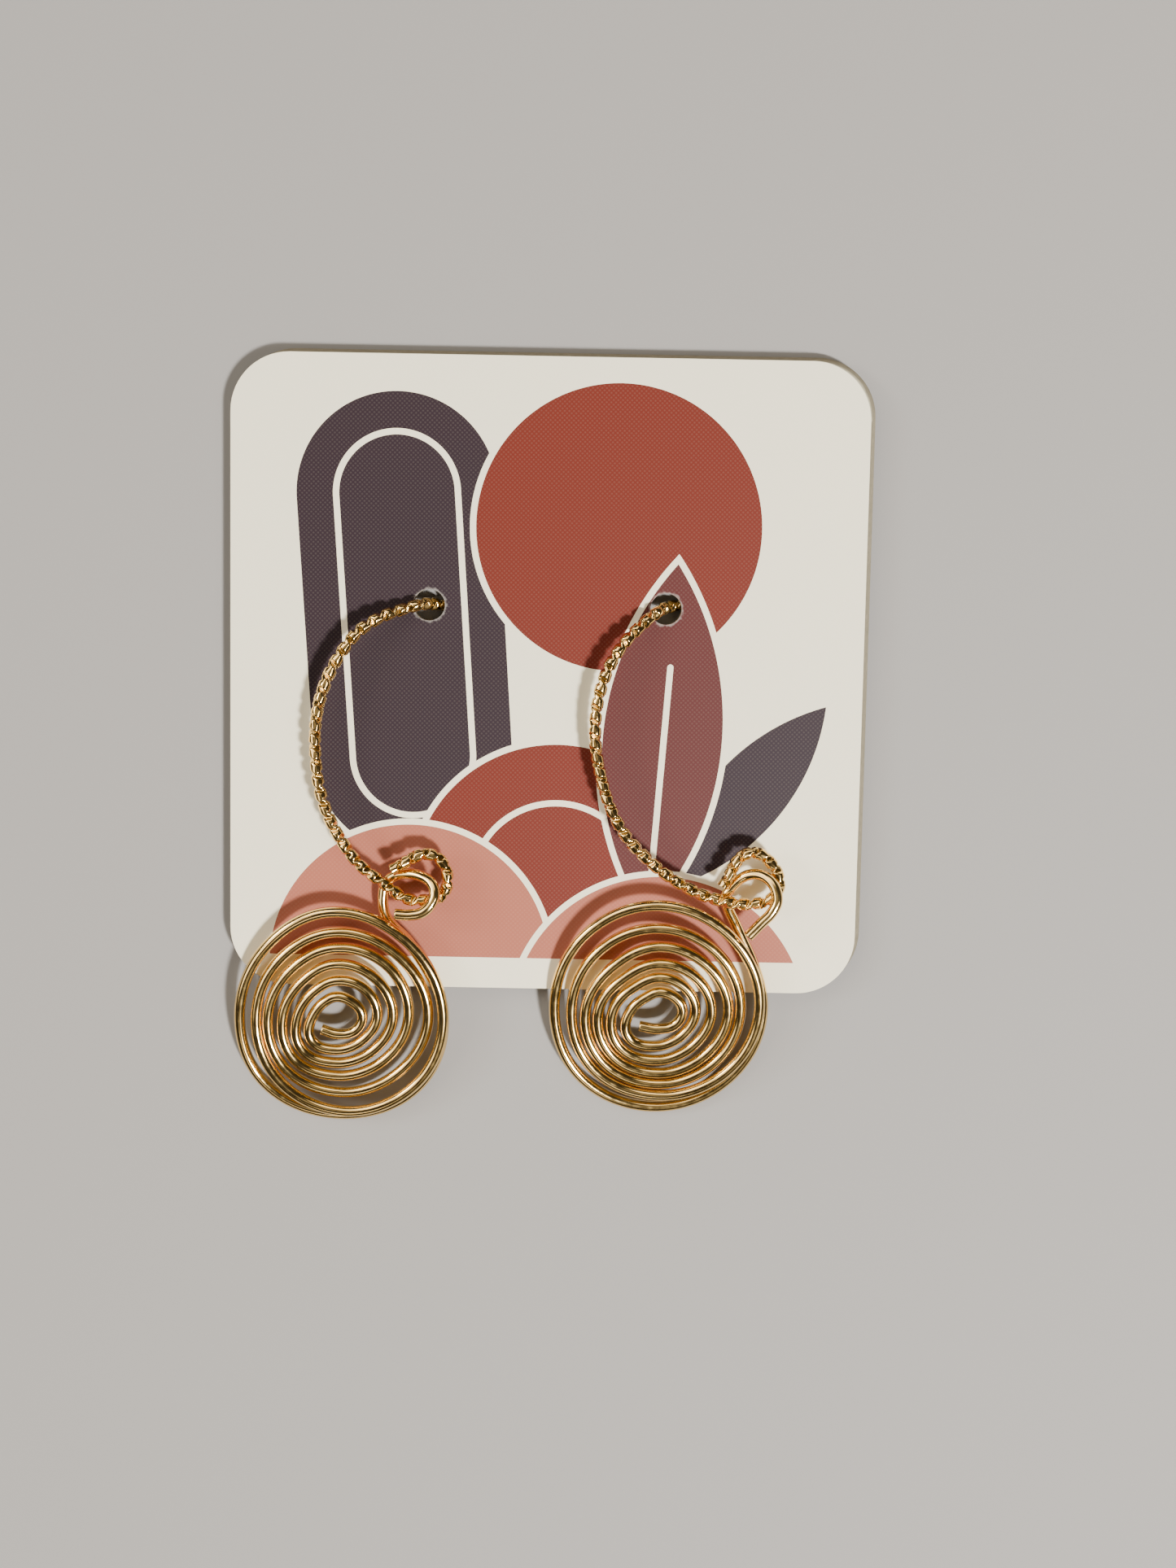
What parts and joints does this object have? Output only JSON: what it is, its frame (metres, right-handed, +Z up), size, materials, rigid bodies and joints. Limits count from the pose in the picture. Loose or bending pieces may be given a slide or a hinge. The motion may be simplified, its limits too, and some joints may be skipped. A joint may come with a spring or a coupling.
{
  "type": "pair of wire earrings on a display card",
  "caption": "Drop earrings with patterned C-shaped ear wires and flat open wire coils, hung on a square card with rounded corners.",
  "frame": {"origin": "on the table, under the middle of the whole pair and card's box", "axes": "+X to the right across the card's face, +Y towards the card's top edge, +Z up off its face"},
  "size_m": [0.0512, 0.0628, 0.0054],
  "materials": {
    "card": "coated white face with a flat print, grey-brown cut edge",
    "patterned_wire": "gold-coloured, diamond-cut facets",
    "smooth_wire": "gold-coloured, bright polished"
  },
  "bodies": {
    "root": {"display_card": "card", "ear_hook_left": "patterned_wire", "ear_hook_right": "patterned_wire", "coil_drop_left": "smooth_wire", "coil_drop_right": "smooth_wire"}
  },
  "joints": []
}
